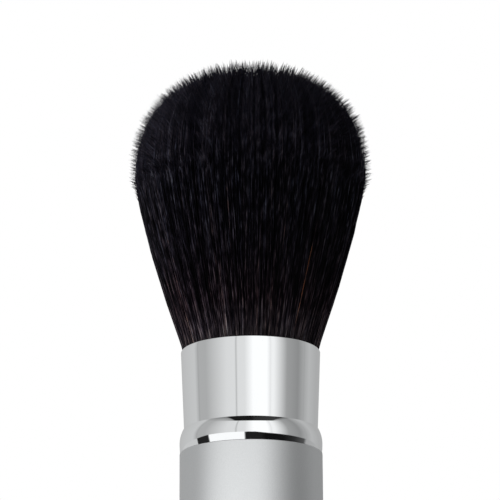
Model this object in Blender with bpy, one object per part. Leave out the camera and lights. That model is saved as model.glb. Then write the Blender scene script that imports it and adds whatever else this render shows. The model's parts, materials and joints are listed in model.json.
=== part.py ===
# Retractable powder brush, standing on its flat base with the hair up.
# The hair sits on a fixed post in the middle. A polished neck tube slides up
# round it out of the satin barrel, gathers the hair and covers it.
# Metres, +Z up. The origin is the middle of the underside of the base.

import math

import bmesh
import bpy
from mathutils import Vector

mm = 0.001

# Clearances
slide_gap = 0.10 * mm       # between pieces that run in each other
press_gap = 0.05 * mm       # between pieces that are pressed or glued together
seat_gap = 0.30 * mm        # between a piece and the face it sits on
seam_gap = 0.10 * mm        # visible joint between two outside pieces

# Barrel: the satin outer tube
barrel_radius = 12.0 * mm
barrel_wall = 0.35 * mm
edge_break = 0.08 * mm      # broken edge on thin turned metal

# Base: cap, moulded plug, weight and bumper
cap_thickness = 1.3 * mm
cap_edge_radius = 0.45 * mm
cap_skirt_height = 2.7 * mm
cap_skirt_wall = 0.5 * mm
plug_height = 3.1 * mm
plug_wall = 1.0 * mm
boss_wall = 1.5 * mm
boss_height = 5.0 * mm
bumper_height = 0.6 * mm
bumper_width = 1.3 * mm

# Post: centre stem with its screw and washer
stem_radius = 3.0 * mm
shank_radius = 1.4 * mm
shank_length = 9.0 * mm
thread_gap = 0.2 * mm       # room for the thread, which isn't modelled
head_radius = 2.7 * mm
head_height = 1.3 * mm
washer_margin = 0.15 * mm   # how far the washer stands out round the head
washer_thickness = 0.4 * mm

# Guide in the mouth of the barrel
bush_wall = 0.25 * mm
bush_length = 5.0 * mm
spigot_length = 2.0 * mm

# Collar: the polished shoulder on the barrel
collar_side = 1.75 * mm     # side under the shoulder, up to the collar's widest place
collar_tuck = 0.12 * mm     # how far that side turns in at the barrel
shoulder_height = 2.2 * mm
lip_width = 0.08 * mm       # what is left of the wall at the collar's mouth

# Sleeve: the polished neck tube and the foot it slides on
tube_wall = 0.35 * mm
neck_height = 13.65 * mm    # what shows above the collar with the sleeve down
rim_flare = 0.55 * mm
bead_radius = 0.20 * mm     # rounded edge of the rim, turned in
tube_flange = 0.35 * mm     # thickness of the turned-out lower edge
foot_height = 3.0 * mm
ring_section_radius = 0.42 * mm
finger_height = 5.0 * mm
finger_wall = 0.9 * mm
finger_lead = 0.3 * mm      # how far the tip of a finger leans in

# Hair and what holds it
cup_wall = 0.3 * mm
cup_length = 20.5 * mm
cup_depth = 8.1 * mm        # from the rim down to the mouth of the cup
carrier_height = 4.5 * mm
carrier_plate = 1.6 * mm
carrier_skirt = 1.1 * mm
hub_wall = 1.6 * mm
hub_height = 5.0 * mm
knob_radius = 3.8 * mm      # knob on the carrier that the resin locks round
knob_height = 3.0 * mm
knob_undercut = 0.7 * mm
resin_height = 7.0 * mm
binding_rise = 3.5 * mm     # from the resin up to the binding
binding_height = 1.4 * mm
binding_depth = 0.8 * mm
bundle_stand = 0.2 * mm     # how far the bound hair stands above the cup
belly_height = 33.5 * mm    # widest place of the hair above the rim
belly_radius = 20.9 * mm
dome_height = 16.0 * mm     # top of the hair above its widest place
hair_rim_gap = 0.18 * mm    # between the outer hair and the rim
cover_margin = 2.0 * mm     # how far the raised sleeve reaches past the hair

# Shape of the hair
fan_power = 1.35            # how soon the flare of the sides fades out
dome_power = 2.1            # 2 is a round dome, more is a squarer one
tip_share = 0.3             # width of a strand's tip against its middle
outer_hair_share = 0.8      # strands further out than this get one more bend
bend_share = 0.5            # where that bend is, between the rim and the belly
strand_gap_share = 0.1      # gap between strands against the depth of a cell

# Counts
outer_steps = 48
inner_steps = 32
small_steps = 20
hair_spokes = 7
hair_rings = 7
bundle_steps = hair_spokes * hair_rings
finger_count = 6

# Radii that fit inside each other, from the outside in
barrel_bore = barrel_radius - barrel_wall
bush_radius = barrel_bore - press_gap
bush_bore = bush_radius - bush_wall
tube_radius = bush_bore - slide_gap
tube_bore = tube_radius - tube_wall
flange_radius = barrel_bore - slide_gap
finger_radius = tube_bore - slide_gap
finger_bore = finger_radius - finger_wall
cup_radius = finger_bore - seat_gap
cup_bore = cup_radius - cup_wall
bundle_radius = cup_bore - press_gap
waist_radius = bundle_radius - binding_depth
rim_radius = tube_radius + rim_flare
rim_bore = rim_radius - max(2 * bead_radius, tube_wall)
hair_rim_radius = rim_bore - hair_rim_gap
skirt_radius = barrel_bore - press_gap
plug_radius = skirt_radius - cap_skirt_wall - slide_gap
socket_radius = stem_radius + press_gap
stem_bore = shank_radius + thread_gap
washer_radius = head_radius + washer_margin
head_pocket_radius = washer_radius + slide_gap
boss_radius = max(socket_radius, head_pocket_radius) + boss_wall
hub_radius = socket_radius + hub_wall

# Heights, from the base up
barrel_bottom = cap_thickness + seam_gap
plug_bottom = cap_thickness + seat_gap
plug_top = plug_bottom + plug_height
pocket_ceiling = plug_top - plug_wall
head_bottom = plug_bottom
washer_bottom = head_bottom + head_height + press_gap
web_bottom = washer_bottom + washer_thickness + press_gap
bumper_bottom = plug_top + seat_gap
foot_bottom = bumper_bottom + bumper_height + seat_gap
foot_top = foot_bottom + foot_height
tube_bottom = foot_top + seat_gap
flange_top = tube_bottom + tube_flange
hair_height = belly_height + dome_height
sleeve_travel = hair_height + cover_margin
bush_bottom = flange_top + sleeve_travel + seat_gap
bush_top = bush_bottom + bush_length
spigot_bottom = bush_top + seat_gap
barrel_top = spigot_bottom + spigot_length
collar_bottom = barrel_top + seam_gap
shoulder_bottom = collar_bottom + collar_side
collar_top = shoulder_bottom + shoulder_height
rim_top = collar_top + neck_height
cup_top = rim_top - cup_depth
cup_bottom = cup_top - cup_length
carrier_top = cup_bottom - seat_gap
carrier_bottom = carrier_top - carrier_height
hub_bottom = carrier_bottom - hub_height
stem_bottom = plug_top + seat_gap
stem_top = carrier_bottom
cup_floor = cup_bottom + cup_wall
resin_bottom = cup_floor + press_gap
resin_top = resin_bottom + resin_height
bundle_bottom = resin_top + press_gap
binding_bottom = bundle_bottom + binding_rise
binding_top = binding_bottom + binding_height
bundle_top = cup_top + bundle_stand


def clear_scene():
    for thing in list(bpy.data.objects):
        bpy.data.objects.remove(thing, do_unlink=True)


def finish(name, colour, roughness, metallic=0.0):
    material = bpy.data.materials.new(name)
    material.use_nodes = True
    shader = material.node_tree.nodes["Principled BSDF"]
    shader.inputs["Base Color"].default_value = (*colour, 1.0)
    shader.inputs["Roughness"].default_value = roughness
    shader.inputs["Metallic"].default_value = metallic
    return material


def arc(centre, radius, start, end, steps):
    """Points of an arc in the (radius, height) plane, angles in degrees."""
    points = []
    for step in range(steps + 1):
        angle = math.radians(start + (end - start) * step / steps)
        points.append((centre[0] + radius * math.cos(angle), centre[1] + radius * math.sin(angle)))
    return points


def turn(outline, steps, closed=True):
    """Turn a (radius, height) outline about Z; an open one starts and ends on the axis."""
    bm = bmesh.new()
    verts = [bm.verts.new((radius, 0, height)) for radius, height in outline]
    pairs = list(zip(verts, verts[1:]))
    if closed:
        pairs.append((verts[-1], verts[0]))
    edges = [bm.edges.new(pair) for pair in pairs]
    bmesh.ops.spin(bm, geom=verts + edges, cent=(0, 0, 0), axis=(0, 0, 1),
                   angle=2 * math.pi, steps=steps, use_merge=True)
    bmesh.ops.remove_doubles(bm, verts=bm.verts, dist=press_gap / 100)
    return bm


def new_object(name, bm, material, parent):
    bmesh.ops.recalc_face_normals(bm, faces=bm.faces)
    mesh = bpy.data.meshes.new(name)
    bm.to_mesh(mesh)
    bm.free()
    mesh.shade_smooth()
    mesh.set_sharp_from_angle(angle=math.radians(30))
    mesh.materials.append(material)
    piece = bpy.data.objects.new(name, mesh)
    bpy.context.collection.objects.link(piece)
    piece.parent = parent
    return piece


# Barrel and its mouth

def barrel(handle):
    outline = [
        (barrel_bore, barrel_bottom),
        (barrel_radius - edge_break, barrel_bottom),
        (barrel_radius, barrel_bottom + edge_break),
        (barrel_radius, barrel_top - edge_break),
        (barrel_radius - edge_break, barrel_top),
        (barrel_bore, barrel_top),
    ]
    satin = finish("satin_aluminium", (0.62, 0.63, 0.64), 0.42, 1.0)
    return new_object("barrel", turn(outline, outer_steps), satin, handle)


def mouth_collar(handle):
    # The side bellies out a little, and the shoulder leaves it without a corner
    side_radius = (collar_side ** 2 + collar_tuck ** 2) / (2 * collar_tuck)
    side_sweep = math.degrees(math.asin((collar_side - edge_break) / side_radius))
    shoulder_drop = barrel_radius - lip_width - bush_bore
    shoulder_radius = (shoulder_height ** 2 + shoulder_drop ** 2) / (2 * shoulder_drop)
    shoulder_sweep = math.degrees(math.asin(shoulder_height / shoulder_radius))
    outline = [
        (bush_bore, spigot_bottom),
        (bush_radius, spigot_bottom),
        (bush_radius, collar_bottom),
        (barrel_radius - collar_tuck - edge_break, collar_bottom),
    ]
    outline += arc((barrel_radius - side_radius, shoulder_bottom), side_radius, -side_sweep, 0, 2)
    outline += arc((barrel_radius - shoulder_radius, shoulder_bottom), shoulder_radius,
                   0, shoulder_sweep, 5)[1:]
    outline += [
        (bush_bore + lip_width / 2, collar_top + lip_width / 4),
        (bush_bore, collar_top - lip_width / 4),
    ]
    polished = finish("polished_aluminium_collar", (0.86, 0.87, 0.88), 0.06, 1.0)
    return new_object("mouth_collar", turn(outline, outer_steps), polished, handle)


def guide_bush(handle):
    lead = bush_wall / 2
    outline = [
        (bush_bore + lead, bush_bottom),
        (bush_radius, bush_bottom),
        (bush_radius, bush_top),
        (bush_bore + lead, bush_top),
        (bush_bore, bush_top - lead),
        (bush_bore, bush_bottom + lead),
    ]
    acetal = finish("white_acetal_bush", (0.75, 0.75, 0.72), 0.40)
    return new_object("guide_bush", turn(outline, outer_steps), acetal, handle)


# Base

def base_cap(handle):
    edge = cap_edge_radius
    outline = [(0, 0)]
    outline += arc((barrel_radius - edge, edge), edge, -90, 0, 4)
    outline += [
        (barrel_radius, cap_thickness),
        (skirt_radius, cap_thickness),
        (skirt_radius, cap_thickness + cap_skirt_height),
        (skirt_radius - cap_skirt_wall, cap_thickness + cap_skirt_height),
        (skirt_radius - cap_skirt_wall, cap_thickness),
        (0, cap_thickness),
    ]
    polished = finish("polished_aluminium_base", (0.80, 0.81, 0.82), 0.12, 1.0)
    return new_object("base_cap", turn(outline, outer_steps, closed=False), polished, handle)


def base_plug(handle):
    # A moulded plug, cored from below for the weight and for the screw's head,
    # with a drafted boss that takes the stem
    outline = [
        (head_pocket_radius, plug_bottom),
        (boss_radius, plug_bottom),
        (boss_radius, pocket_ceiling),
        (plug_radius - plug_wall, pocket_ceiling),
        (plug_radius - plug_wall, plug_bottom),
        (plug_radius, plug_bottom),
        (plug_radius, plug_top),
        (boss_radius, plug_top),
        (boss_radius - boss_wall / 4, plug_top + boss_height),
        (socket_radius, plug_top + boss_height),
        (socket_radius, plug_top),
        (stem_bore, plug_top),
        (stem_bore, web_bottom),
        (head_pocket_radius, web_bottom),
    ]
    moulded = finish("black_abs_plug", (0.02, 0.02, 0.022), 0.45)
    return new_object("base_plug", turn(outline, inner_steps), moulded, handle)


def base_weight(handle):
    inner = boss_radius + slide_gap
    outer = plug_radius - plug_wall - slide_gap
    top = pocket_ceiling - seat_gap
    outline = [
        (inner, plug_bottom),
        (outer - edge_break, plug_bottom),
        (outer, plug_bottom + edge_break),
        (outer, top - edge_break),
        (outer - edge_break, top),
        (inner, top),
    ]
    steel = finish("zinc_plated_steel_weight", (0.55, 0.55, 0.56), 0.35, 1.0)
    return new_object("base_weight", turn(outline, inner_steps), steel, handle)


def stop_bumper(handle):
    # The foot of the sleeve lands on this ring; its top is crowned to be soft at first
    outer = barrel_bore - slide_gap
    inner = outer - bumper_width
    outline = [
        (inner, bumper_bottom),
        (outer, bumper_bottom),
        (outer, bumper_bottom + bumper_height / 2),
        ((inner + outer) / 2, bumper_bottom + bumper_height),
        (inner, bumper_bottom + bumper_height / 2),
    ]
    rubber = finish("black_rubber_bumper", (0.015, 0.015, 0.015), 0.8)
    return new_object("stop_bumper", turn(outline, outer_steps), rubber, handle)


# Post

def stem(handle):
    chamfer = stem_radius / 8
    outline = [
        (stem_bore, stem_bottom),
        (stem_radius - chamfer, stem_bottom),
        (stem_radius, stem_bottom + chamfer),
        (stem_radius, stem_top - chamfer),
        (stem_radius - chamfer, stem_top),
        (stem_bore, stem_top),
    ]
    rod = finish("drawn_aluminium_stem", (0.60, 0.61, 0.62), 0.30, 1.0)
    return new_object("stem", turn(outline, small_steps), rod, handle)


def stem_washer(handle):
    bore = shank_radius + slide_gap
    outline = [
        (bore, washer_bottom),
        (washer_radius, washer_bottom),
        (washer_radius, washer_bottom + washer_thickness),
        (bore, washer_bottom + washer_thickness),
    ]
    steel = finish("zinc_plated_washer", (0.60, 0.60, 0.58), 0.30, 1.0)
    return new_object("stem_washer", turn(outline, small_steps), steel, handle)


def stem_screw(handle):
    head_edge = head_height / 3
    head_top = head_bottom + head_height
    shank_top = head_top + shank_length
    point = shank_radius / 2
    outline = [(0, head_bottom)]
    outline += arc((head_radius - head_edge, head_bottom + head_edge), head_edge, -90, 0, 3)
    outline += [
        (head_radius, head_top),
        (shank_radius, head_top),
        (shank_radius, shank_top - point),
        (point, shank_top),
        (0, shank_top),
    ]
    steel = finish("zinc_plated_screw", (0.60, 0.60, 0.58), 0.30, 1.0)
    return new_object("stem_screw", turn(outline, small_steps, closed=False), steel, handle)


# Sleeve

def neck_tube(sleeve):
    # The tube is straight in the barrel and flares in the neck up to a rounded edge
    bead_centre = (rim_radius - bead_radius, rim_top - bead_radius)
    bead_foot = rim_top - 3 * bead_radius
    outline = [
        (tube_bore, tube_bottom),
        (flange_radius - edge_break, tube_bottom),
        (flange_radius, tube_bottom + edge_break),
        (flange_radius, flange_top),
        (tube_radius, flange_top),
        (tube_radius, collar_top),
    ]
    outline += arc(bead_centre, bead_radius, 0, 180, 5)
    outline += [
        (rim_radius - tube_wall, bead_foot),
        (tube_bore, collar_top),
    ]
    polished = finish("polished_aluminium_neck", (0.88, 0.89, 0.90), 0.05, 1.0)
    return new_object("neck_tube", turn(outline, outer_steps), polished, sleeve)


ring_centre_radius = barrel_bore - press_gap - ring_section_radius
groove_bottom = ring_centre_radius - ring_section_radius - slide_gap


def tube_foot(sleeve):
    # A grooved ring under the flange of the tube, with spring fingers up inside it
    groove_middle = foot_bottom + foot_height / 2
    groove_low = groove_middle - ring_section_radius - slide_gap
    groove_high = groove_middle + ring_section_radius + slide_gap
    outline = [
        (finger_bore, foot_bottom),
        (flange_radius - edge_break, foot_bottom),
        (flange_radius, foot_bottom + edge_break),
        (flange_radius, groove_low),
        (groove_bottom, groove_low),
        (groove_bottom, groove_high),
        (flange_radius, groove_high),
        (flange_radius, foot_top),
        (finger_radius, foot_top),
        (finger_bore, foot_top),
    ]
    bm = turn(outline, outer_steps)

    # One face in each finger's share of the ring stays down, as the slot
    steps_each = outer_steps // finger_count
    bases = []
    for face in bm.faces:
        centre = face.calc_center_median()
        turned = math.degrees(math.atan2(centre.y, centre.x)) % 360
        step = int(turned * outer_steps / 360)
        on_top = abs(centre.z - foot_top) < press_gap
        inside = math.hypot(centre.x, centre.y) < finger_radius
        if on_top and inside and step % steps_each:
            bases.append(face)
    made = bmesh.ops.extrude_face_region(bm, geom=bases)["geom"]
    bmesh.ops.delete(bm, geom=bases, context="FACES_ONLY")
    for vert in made:
        if isinstance(vert, bmesh.types.BMVert):
            vert.co.z += finger_height
            radius = math.hypot(vert.co.x, vert.co.y)
            if radius > (finger_bore + finger_radius) / 2:
                vert.co.xy *= (radius - finger_lead) / radius
    acetal = finish("black_acetal_foot", (0.03, 0.03, 0.032), 0.40)
    return new_object("tube_foot", bm, acetal, sleeve)


def friction_ring(sleeve):
    centre = (ring_centre_radius, foot_bottom + foot_height / 2)
    outline = arc(centre, ring_section_radius, 0, 360, 6)[:-1]
    rubber = finish("black_rubber_ring", (0.015, 0.015, 0.015), 0.65)
    return new_object("friction_ring", turn(outline, outer_steps), rubber, sleeve)


# Hair and what holds it

def knob_outline(skin):
    """The carrier's undercut knob, grown by a skin, from its neck to the axis."""
    neck = knob_radius - knob_undercut
    return [
        (neck + skin, carrier_top + knob_height / 2 - skin),
        (knob_radius + skin, carrier_top + knob_height * 2 / 3 - skin),
        (knob_radius + skin, carrier_top + knob_height + skin),
        (0, carrier_top + knob_height + skin),
    ]


def carrier(handle):
    # A moulded plate on the stem, cored from below, with the knob on top
    socket_top = stem_top + seat_gap
    plate_bottom = carrier_top - carrier_plate
    outline = [
        (0, socket_top),
        (socket_radius, socket_top),
        (socket_radius, hub_bottom),
        (hub_radius - hub_wall / 4, hub_bottom),
        (hub_radius, plate_bottom),
        (cup_radius - carrier_skirt, plate_bottom),
        (cup_radius - carrier_skirt, carrier_bottom),
        (cup_radius, carrier_bottom),
        (cup_radius, carrier_top),
        (knob_radius - knob_undercut, carrier_top),
    ]
    outline += knob_outline(0)
    moulded = finish("black_abs_carrier", (0.02, 0.02, 0.022), 0.45)
    return new_object("carrier", turn(outline, inner_steps, closed=False), moulded, handle)


def hair_cup(handle):
    # A drawn cup with an eye in its floor for the carrier's knob
    eye = knob_radius + slide_gap
    outline = [(eye, cup_bottom)]
    outline += arc((cup_radius - cup_wall, cup_bottom + cup_wall), cup_wall, -90, 0, 2)
    outline += [
        (cup_radius, cup_top - cup_wall / 2),
        (cup_radius - cup_wall / 2, cup_top),
        (cup_bore, cup_top - cup_wall / 2),
        (cup_bore, cup_floor),
        (eye, cup_floor),
    ]
    drawn = finish("drawn_aluminium_cup", (0.75, 0.76, 0.77), 0.25, 1.0)
    return new_object("hair_cup", turn(outline, bundle_steps), drawn, handle)


def resin_plug(handle):
    # Cast resin that fills the floor of the cup and closes round the knob
    outline = [(0, resin_top), (bundle_radius, resin_top), (bundle_radius, resin_bottom),
               (knob_radius - knob_undercut + slide_gap, resin_bottom)]
    outline += knob_outline(slide_gap)
    resin = finish("clear_epoxy", (0.35, 0.25, 0.12), 0.20)
    return new_object("resin_plug", turn(outline, bundle_steps, closed=False), resin, handle)


def root_binding(handle):
    # Thread drawn tight round the roots, sunk in the waist it makes
    inner = waist_radius + press_gap
    low = binding_bottom + press_gap
    high = binding_top - press_gap
    third = (high - low) / 3
    outline = [
        (inner, low + third),
        ((inner + bundle_radius) / 2, low),
        (bundle_radius, low + third),
        (bundle_radius, high - third),
        ((inner + bundle_radius) / 2, high),
        (inner, high - third),
    ]
    thread = finish("waxed_thread", (0.55, 0.50, 0.40), 0.85)
    return new_object("root_binding", turn(outline, bundle_steps), thread, handle)


def hair_radius(height):
    """Outer radius of the hair at a height above the rim."""
    share = min(height / belly_height, 1)
    return belly_radius - (belly_radius - hair_rim_radius) * (1 - share) ** fan_power


def hair_cells(bm):
    """Split the round top of the bundle into three-cornered cells, ring by ring."""
    rings = []
    for ring in range(hair_rings + 1):
        count = max(hair_spokes * ring, 1)
        radius = bundle_radius * ring / hair_rings
        angles = [2 * math.pi * place / count for place in range(count)]
        rings.append([bm.verts.new((radius * math.cos(angle), radius * math.sin(angle), bundle_top))
                      for angle in angles])
    cells = []
    for ring in range(1, hair_rings + 1):
        inner = rings[ring - 1]
        outer = rings[ring]
        for spoke in range(hair_spokes):
            for place in range(ring):
                out = spoke * ring + place
                into = spoke * (ring - 1) + place
                near = inner[into % len(inner)]
                far = outer[(out + 1) % len(outer)]
                cells.append(bm.faces.new((near, outer[out], far)))
                if place < ring - 1:
                    cells.append(bm.faces.new((near, far, inner[(into + 1) % len(inner)])))
    return cells


def draw_bundle(bm):
    """Draw the border of the cells down into the bound bundle, waist and all."""
    border = [edge for edge in bm.edges if edge.is_boundary]
    levels = [
        (bundle_radius, binding_top),
        (waist_radius, binding_top),
        (waist_radius, binding_bottom),
        (bundle_radius, binding_bottom),
        (bundle_radius, bundle_bottom),
    ]
    for radius, height in levels:
        made = bmesh.ops.extrude_edge_only(bm, edges=border)["geom"]
        border = [item for item in made if isinstance(item, bmesh.types.BMEdge)]
        for vert in {vert for edge in border for vert in edge.verts}:
            vert.co.xy *= radius / math.hypot(vert.co.x, vert.co.y)
            vert.co.z = height
    bmesh.ops.holes_fill(bm, edges=border, sides=len(border))


def draw_strand(bm, cell, fan_share):
    """Draw one cell up into a strand that fans out and ends on the dome."""
    roots = [vert.co.xy / fan_share for vert in cell.verts]
    middle = sum(roots[1:], roots[0]) / len(roots)
    reach = min(middle.length, 1)
    tip = belly_height + dome_height * (1 - reach ** dome_power) ** (1 / dome_power)
    levels = [(0, 1), (tip, tip_share)]
    if reach > outer_hair_share:
        levels.insert(1, (belly_height * bend_share, 1))
    for height, width_share in levels:
        cell = bmesh.ops.extrude_discrete_faces(bm, faces=[cell])["faces"][0]
        for vert, root in zip(cell.verts, roots):
            place = (middle + (root - middle) * width_share) * hair_radius(height)
            vert.co = Vector((place.x, place.y, rim_top + height))


def bristles(handle):
    bm = bmesh.new()
    cells = hair_cells(bm)
    draw_bundle(bm)
    cell_depth = bundle_radius / hair_rings
    bmesh.ops.inset_individual(bm, faces=cells, thickness=cell_depth * strand_gap_share)
    outermost = max(vert.co.xy.length for cell in cells for vert in cell.verts)
    for cell in cells:
        draw_strand(bm, cell, outermost)
    hair = finish("black_goat_hair", (0.012, 0.012, 0.014), 0.55)
    return new_object("bristles", bm, hair, handle)


def main():
    clear_scene()
    handle = bpy.data.objects.new("handle", None)
    sleeve = bpy.data.objects.new("sleeve", None)
    bpy.context.collection.objects.link(handle)
    bpy.context.collection.objects.link(sleeve)
    for make in (barrel, mouth_collar, guide_bush, base_cap, base_plug, base_weight, stop_bumper,
                 stem, stem_washer, stem_screw, carrier, hair_cup, resin_plug, root_binding, bristles):
        make(handle)
    for make in (neck_tube, tube_foot, friction_ring):
        make(sleeve)


main()
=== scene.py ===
import json
import math

import bpy
import numpy as np
from mathutils import Matrix, Vector

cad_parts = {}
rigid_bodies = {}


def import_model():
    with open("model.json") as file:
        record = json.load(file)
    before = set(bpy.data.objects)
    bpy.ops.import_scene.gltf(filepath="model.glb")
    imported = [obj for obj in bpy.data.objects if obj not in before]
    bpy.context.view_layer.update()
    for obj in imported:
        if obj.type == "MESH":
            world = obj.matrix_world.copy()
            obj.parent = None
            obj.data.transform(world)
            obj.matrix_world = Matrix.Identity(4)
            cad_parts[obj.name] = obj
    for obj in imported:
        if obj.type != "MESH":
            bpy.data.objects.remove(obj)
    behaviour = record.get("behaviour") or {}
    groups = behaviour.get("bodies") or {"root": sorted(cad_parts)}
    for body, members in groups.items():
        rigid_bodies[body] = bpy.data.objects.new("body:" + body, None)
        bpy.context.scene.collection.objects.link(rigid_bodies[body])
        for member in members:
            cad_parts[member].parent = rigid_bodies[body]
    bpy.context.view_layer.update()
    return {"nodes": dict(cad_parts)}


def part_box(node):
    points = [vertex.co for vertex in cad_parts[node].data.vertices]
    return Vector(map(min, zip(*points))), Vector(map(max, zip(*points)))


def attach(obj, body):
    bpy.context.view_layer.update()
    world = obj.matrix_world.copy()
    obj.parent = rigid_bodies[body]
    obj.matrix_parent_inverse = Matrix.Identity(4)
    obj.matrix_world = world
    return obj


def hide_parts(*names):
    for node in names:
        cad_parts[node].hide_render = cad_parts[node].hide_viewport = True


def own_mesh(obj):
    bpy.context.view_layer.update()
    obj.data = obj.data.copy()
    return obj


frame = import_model()

mm = 0.001
dice = np.random.default_rng(7)    # seeded, so that every run draws the same hairs

# Where the frame has the pieces that are dressed here
barrelLow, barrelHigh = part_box("barrel")
collarLow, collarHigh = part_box("mouth_collar")
neckLow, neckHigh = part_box("neck_tube")
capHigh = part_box("base_cap")[1]
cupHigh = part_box("hair_cup")[1]
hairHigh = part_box("bristles")[1]
barrelRadius = barrelHigh.x
print("frame loaded, barrel radius", round(barrelRadius / mm, 2), "mm")


# Small helpers

noiseLow, noiseHigh = 0.3, 0.7     # most of a noise texture lies between these

turnFacts = {
    "merge": 0.002 * mm,
    "smoothUnder": 32,         # degrees between faces that are shaded as one surface
}


def linearColour(hexColour):
    # An sRGB colour as the linear numbers that a shader takes
    channels = [int(hexColour[i:i + 2], 16) / 255 for i in (1, 3, 5)]
    return [c / 12.92 if c <= 0.04045 else ((c + 0.055) / 1.055) ** 2.4 for c in channels] + [1]


def linearGrey(level):
    return linearColour("#" + f"{level:02x}" * 3)    # of a grey level out of 255


def evenGrey(strength):
    return [strength] * 3 + [1]    # a plain number, for a colour ramp


def addNode(tree, kind, inputs=None, stops=None, **settings):
    # Adds a node with its settings, its inputs or their links, and a colour ramp's stops
    node = tree.nodes.new("ShaderNode" + kind)
    for name, value in settings.items():
        setattr(node, name, value)
    for name, value in (inputs or {}).items():
        if isinstance(value, bpy.types.NodeSocket):
            tree.links.new(value, node.inputs[name])
        else:
            node.inputs[name].default_value = value
    if stops:
        spots = node.color_ramp.elements
        while len(spots) < len(stops):
            spots.new(0.5)
        for spot, (position, colour) in zip(spots, stops):
            spot.position, spot.color = position, colour
    return node


def newMaterial(name, colour, roughness, metallic=0.0):
    material = bpy.data.materials.new(name)
    material.use_nodes = True
    tree = material.node_tree
    shader = tree.nodes["Principled BSDF"]
    shader.inputs["Base Color"].default_value = linearColour(colour)
    shader.inputs["Roughness"].default_value = roughness
    shader.inputs["Metallic"].default_value = metallic
    place = addNode(tree, "TexCoord").outputs["Object"]
    return material, tree, shader, place


def addSurface(tree, shader, facts, grain, wear):
    # The grain gives a fine relief, and mixes the two tones of a piece that has them. The wear
    # makes the surface a little duller or shinier
    if "tones" in facts:
        dark, light = [linearColour(tone) for tone in facts["tones"]]
        tone = addNode(tree, "ValToRGB", {"Fac": grain}, [(noiseLow, dark), (noiseHigh, light)])
        tree.links.new(tone.outputs["Color"], shader.inputs["Base Color"])
    rough = addNode(tree, "MapRange", {"Value": wear, "To Min": facts["roughness"] - facts["roughSwing"],
                                       "To Max": facts["roughness"] + facts["roughSwing"]})
    bump = addNode(tree, "Bump", {"Height": grain, "Strength": facts["relief"], "Distance": facts["depth"]})
    tree.links.new(rough.outputs["Result"], shader.inputs["Roughness"])
    tree.links.new(bump.outputs["Normal"], shader.inputs["Normal"])


def turnPiece(name, outline, sides, closed=True):
    # A ring is drawn out along the outline, like a bar on a lathe, or a disc where the outline
    # isn't closed
    bpy.ops.object.select_all(action="DESELECT")
    radius, height = outline[0]
    bpy.ops.mesh.primitive_circle_add(vertices=sides, radius=radius, location=(0, 0, height))
    piece = bpy.context.object
    piece.name = name
    bpy.ops.object.mode_set(mode="EDIT")
    bpy.ops.mesh.select_all(action="SELECT")
    if not closed:
        bpy.ops.mesh.edge_face_add()
    drawOut = bpy.ops.mesh.extrude_edges_move if closed else bpy.ops.mesh.extrude_region_move
    for nextRadius, nextHeight in outline[1:]:
        drawOut(TRANSFORM_OT_translate={"value": (0, 0, nextHeight - height)})
        grow = nextRadius / radius
        bpy.ops.transform.resize(value=(grow, grow, 1))
        radius, height = nextRadius, nextHeight
    bpy.ops.mesh.select_all(action="SELECT")
    if closed:
        bpy.ops.mesh.remove_doubles(threshold=turnFacts["merge"])
    bpy.ops.mesh.normals_make_consistent(inside=False)
    bpy.ops.object.mode_set(mode="OBJECT")
    bpy.ops.object.transform_apply(location=True, rotation=True, scale=True)
    bpy.ops.object.shade_smooth_by_angle(angle=math.radians(turnFacts["smoothUnder"]))
    return piece


def arcPoints(centre, radius, start, end, steps):
    angles = np.radians(np.linspace(start, end, steps + 1))
    return [(centre[0] + radius * math.cos(a), centre[1] + radius * math.sin(a)) for a in angles]


def arcThrough(rise, drop):
    # Radius and degrees of an arc that starts upright and comes in by the drop as it rises
    radius = (rise ** 2 + drop ** 2) / (2 * drop)
    return radius, math.degrees(math.asin(rise / radius))


def dress(piece, material, body, node):
    piece.data.materials.clear()
    piece.data.materials.append(material)
    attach(piece, body)
    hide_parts(node)


# Satin barrel: aluminium tube, turned, blasted and anodised, which gives an even silvery
# sheen with a very fine grain

barrelFacts = {
    "sides": 192,
    "wall": 0.35 * mm,
    "edge": 0.08 * mm,
    "edgeSteps": 4,
    "colour": "#D4D6D7",
    "tones": ("#D0D2D3", "#D8DADB"),
    "roughness": 0.44,
    "roughSwing": 0.02,
    "grain": 0.16 * mm,        # blasting grit leaves 0.05 mm, drawn coarser so that it shows
    "relief": 0.5,
    "depth": 0.0012 * mm,
    "ringLength": 2.5 * mm,    # faint marks under the grain, left from the turning
    "ringsInLength": 12,
}


def makeSatin(facts):
    material, tree, shader, place = newMaterial("anodisedSatinAluminium", facts["colour"],
                                                facts["roughness"], metallic=1.0)
    grain = addNode(tree, "TexNoise", {"Vector": place, "Scale": 1 / facts["grain"], "Detail": 3})
    drawn = addNode(tree, "Mapping", {"Vector": place, "Scale": (1, 1, facts["ringsInLength"])})
    rings = addNode(tree, "TexNoise", {"Vector": drawn.outputs["Vector"], "Scale": 1 / facts["ringLength"],
                                       "Detail": 2})
    addSurface(tree, shader, facts, grain.outputs["Fac"], rings.outputs["Fac"])
    return material


def makeBarrel(facts):
    bore = barrelRadius - facts["wall"]
    edge = facts["edge"]
    low, high = barrelLow.z, barrelHigh.z
    outline = [(bore, low)]
    outline += arcPoints((barrelRadius - edge, low + edge), edge, -90, 0, facts["edgeSteps"])
    outline += arcPoints((barrelRadius - edge, high - edge), edge, 0, 90, facts["edgeSteps"])
    outline += [(bore, high), (bore, low)]
    barrel = turnPiece("barrelSkin", outline, facts["sides"])
    dress(barrel, makeSatin(facts), "handle", "barrel")


makeBarrel(barrelFacts)
print("barrel turned")


# Polished pieces: aluminium turned, buffed and bright anodised, a near mirror with faint
# marks of the mop running round it

polishFacts = {
    "colour": "#FAFCFD",
    "roughness": 0.03,
    "roughSwing": 0.012,
    "mark": 0.25 * mm,         # spacing of the mop's marks
    "markSquash": 0.06,        # drawn out this much round the piece
    "relief": 0.3,
    "depth": 0.00012 * mm,
}

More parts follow.
